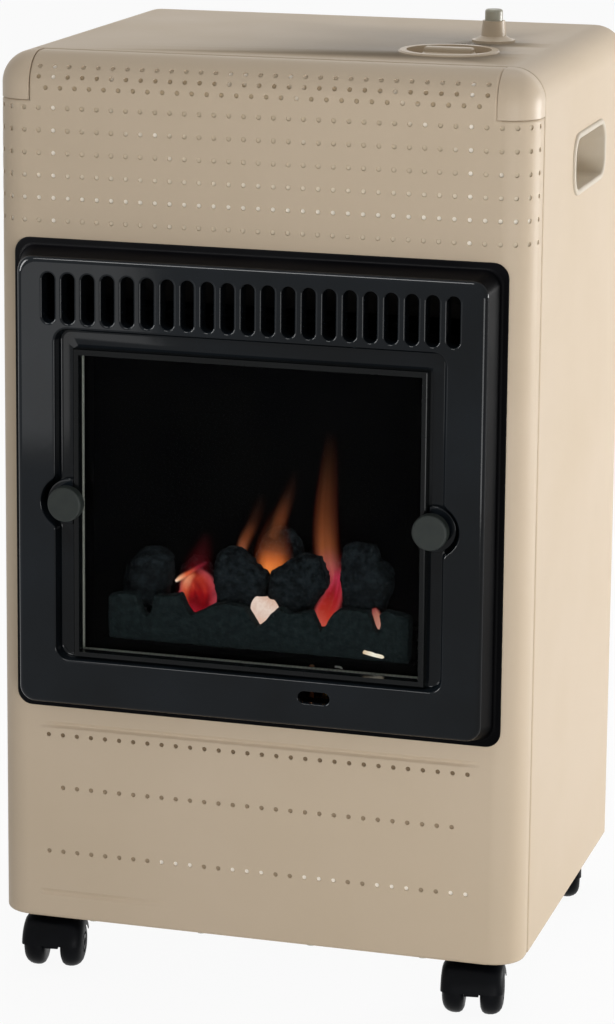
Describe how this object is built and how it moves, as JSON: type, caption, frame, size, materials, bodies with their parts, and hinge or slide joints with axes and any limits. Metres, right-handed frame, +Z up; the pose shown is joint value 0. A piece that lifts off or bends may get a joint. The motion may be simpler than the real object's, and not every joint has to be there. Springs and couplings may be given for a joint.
{
  "type": "portable gas cabinet heater",
  "caption": "Upright cabinet heater on castors with a glazed live-flame fire, a bottle bay behind a tilting rear cover, a push-and-turn gas tap and a piezo igniter.",
  "frame": {"origin": "on the floor under the middle of the bounding box", "axes": "+Z up, the fire faces -Y, +X is to the right when facing the fire"},
  "size_m": [0.427, 0.385, 0.762],
  "materials": {
    "casing_enamel": "satin beige stove enamel",
    "cap_plastic": "satin beige moulding",
    "handle_plastic": "satin beige moulding",
    "frame_enamel": "gloss black vitreous enamel",
    "trim_enamel": "gloss black enamel",
    "glass": "clear heat-proof glass",
    "seal_rope": "woven glass fibre",
    "firebox_steel": "matt black heat-proof coating",
    "zinc_steel": "zinc coated sheet steel",
    "ceramic": "matt sooted ceramic fibre",
    "coal": "matt dark ceramic fibre",
    "porcelain": "glazed porcelain",
    "brass": "turned brass",
    "copper": "drawn copper",
    "tap_alloy": "die-cast alloy",
    "dial_plastic": "satin beige moulding",
    "knob_plastic": "satin beige moulding",
    "button_plastic": "satin greyish beige moulding",
    "igniter_plastic": "black moulding",
    "retaining_plastic": "matt dark grey moulding",
    "castor_plastic": "black moulded nylon",
    "castor_steel": "plain steel pin",
    "screw_steel": "zinc plated steel"
  },
  "bodies": {
    "cabinet": {"front_cover": "casing_enamel", "corner_cap_left": "cap_plastic", "corner_cap_right": "cap_plastic", "casing_wrap": "casing_enamel", "base_plate": "zinc_steel", "handle_cup_left": "handle_plastic", "handle_cup_right": "handle_plastic", "cross_rail": "zinc_steel", "fire_frame": "frame_enamel", "glass_frame": "trim_enamel", "glass_pane": "glass", "glass_seal": "seal_rope", "firebox": "firebox_steel", "heat_shield": "zinc_steel", "front_ceramic": "ceramic", "coal_left": "coal", "coal_middle_left": "coal", "coal_middle_right": "coal", "coal_right": "coal", "rear_coals": "coal", "burner_tray": "firebox_steel", "burner_tube": "firebox_steel", "injector": "brass", "pilot_burner": "brass", "spark_electrode": "porcelain", "thermocouple": "copper", "gas_tap": "tap_alloy", "dial_plate": "dial_plastic", "igniter_collar": "dial_plastic", "igniter_body": "igniter_plastic", "gas_pipe": "copper", "pilot_pipe": "copper", "inlet_nozzle": "brass", "tap_bracket": "zinc_steel", "cover_screws": "screw_steel", "castor_sockets": "zinc_steel"},
    "rear_cover": {"rear_cover": "casing_enamel", "rear_cover_pins": "screw_steel"},
    "retaining_knob_left": {"retaining_knob_left": "retaining_plastic"},
    "retaining_knob_right": {"retaining_knob_right": "retaining_plastic"},
    "tap_plunger": {"tap_plunger": "brass"},
    "control_knob": {"control_knob": "knob_plastic", "tap_spindle": "brass"},
    "igniter_button": {"igniter_button": "button_plastic"},
    "castor_fl": {"castor_fl_hood": "castor_plastic", "castor_fl_pins": "castor_steel"},
    "castor_fl_wheel_left": {"castor_fl_wheel_left": "castor_plastic"},
    "castor_fl_wheel_right": {"castor_fl_wheel_right": "castor_plastic"},
    "castor_fr": {"castor_fr_hood": "castor_plastic", "castor_fr_pins": "castor_steel"},
    "castor_fr_wheel_left": {"castor_fr_wheel_left": "castor_plastic"},
    "castor_fr_wheel_right": {"castor_fr_wheel_right": "castor_plastic"},
    "castor_rl": {"castor_rl_hood": "castor_plastic", "castor_rl_pins": "castor_steel"},
    "castor_rl_wheel_left": {"castor_rl_wheel_left": "castor_plastic"},
    "castor_rl_wheel_right": {"castor_rl_wheel_right": "castor_plastic"},
    "castor_rr": {"castor_rr_hood": "castor_plastic", "castor_rr_pins": "castor_steel"},
    "castor_rr_wheel_left": {"castor_rr_wheel_left": "castor_plastic"},
    "castor_rr_wheel_right": {"castor_rr_wheel_right": "castor_plastic"}
  },
  "joints": [
    {"name": "tap_push", "type": "slide", "parent": "cabinet", "child": "tap_plunger", "axis": [0, 0, -1], "range_m": [0, 0.005], "stiffness_N_per_m": 800, "springref_m": -0.002},
    {"name": "tap_turn", "type": "hinge", "parent": "tap_plunger", "child": "control_knob", "pos_m": [0.119, -0.0475, 0.736], "axis": [0, 0, 1], "range_deg": [-180, 0]},
    {"name": "igniter_press", "type": "slide", "parent": "cabinet", "child": "igniter_button", "axis": [0, 0, -1], "range_m": [0, 0.006], "stiffness_N_per_m": 1200, "springref_m": -0.002},
    {"name": "rear_cover_tilt", "type": "hinge", "parent": "cabinet", "child": "rear_cover", "pos_m": [0, 0.1865, 0.059], "axis": [-1, 0, 0], "range_deg": [0, 90]},
    {"name": "retaining_knob_left_turn", "type": "hinge", "parent": "cabinet", "child": "retaining_knob_left", "pos_m": [-0.1446, -0.1835, 0.392], "axis": [0, -1, 0], "range_deg": [0, 90]},
    {"name": "retaining_knob_right_turn", "type": "hinge", "parent": "cabinet", "child": "retaining_knob_right", "pos_m": [0.1446, -0.1835, 0.392], "axis": [0, -1, 0], "range_deg": [0, 90]},
    {"name": "castor_fl_swivel", "type": "hinge", "parent": "cabinet", "child": "castor_fl", "pos_m": [-0.172, -0.1295, 0.045], "axis": [0, 0, 1], "continuous": true},
    {"name": "castor_fl_left_roll", "type": "hinge", "parent": "castor_fl", "child": "castor_fl_wheel_left", "pos_m": [-0.16991, -0.14435, 0.02], "axis": [0.9903, 0.1392, 0], "continuous": true},
    {"name": "castor_fl_right_roll", "type": "hinge", "parent": "castor_fl", "child": "castor_fl_wheel_right", "pos_m": [-0.16991, -0.14435, 0.02], "axis": [0.9903, 0.1392, 0], "continuous": true},
    {"name": "castor_fr_swivel", "type": "hinge", "parent": "cabinet", "child": "castor_fr", "pos_m": [0.172, -0.1295, 0.045], "axis": [0, 0, 1], "continuous": true},
    {"name": "castor_fr_left_roll", "type": "hinge", "parent": "castor_fr", "child": "castor_fr_wheel_left", "pos_m": [0.17409, -0.14435, 0.02], "axis": [0.9903, 0.1392, 0], "continuous": true},
    {"name": "castor_fr_right_roll", "type": "hinge", "parent": "castor_fr", "child": "castor_fr_wheel_right", "pos_m": [0.17409, -0.14435, 0.02], "axis": [0.9903, 0.1392, 0], "continuous": true},
    {"name": "castor_rl_swivel", "type": "hinge", "parent": "cabinet", "child": "castor_rl", "pos_m": [-0.172, 0.1505, 0.045], "axis": [0, 0, 1], "continuous": true},
    {"name": "castor_rl_left_roll", "type": "hinge", "parent": "castor_rl", "child": "castor_rl_wheel_left", "pos_m": [-0.16687, 0.1364, 0.02], "axis": [0.9397, 0.342, 0], "continuous": true},
    {"name": "castor_rl_right_roll", "type": "hinge", "parent": "castor_rl", "child": "castor_rl_wheel_right", "pos_m": [-0.16687, 0.1364, 0.02], "axis": [0.9397, 0.342, 0], "continuous": true},
    {"name": "castor_rr_swivel", "type": "hinge", "parent": "cabinet", "child": "castor_rr", "pos_m": [0.172, 0.1505, 0.045], "axis": [0, 0, 1], "continuous": true},
    {"name": "castor_rr_left_roll", "type": "hinge", "parent": "castor_rr", "child": "castor_rr_wheel_left", "pos_m": [0.17563, 0.13595, 0.02], "axis": [0.9703, 0.2419, 0], "continuous": true},
    {"name": "castor_rr_right_roll", "type": "hinge", "parent": "castor_rr", "child": "castor_rr_wheel_right", "pos_m": [0.17563, 0.13595, 0.02], "axis": [0.9703, 0.2419, 0], "continuous": true}
  ]
}
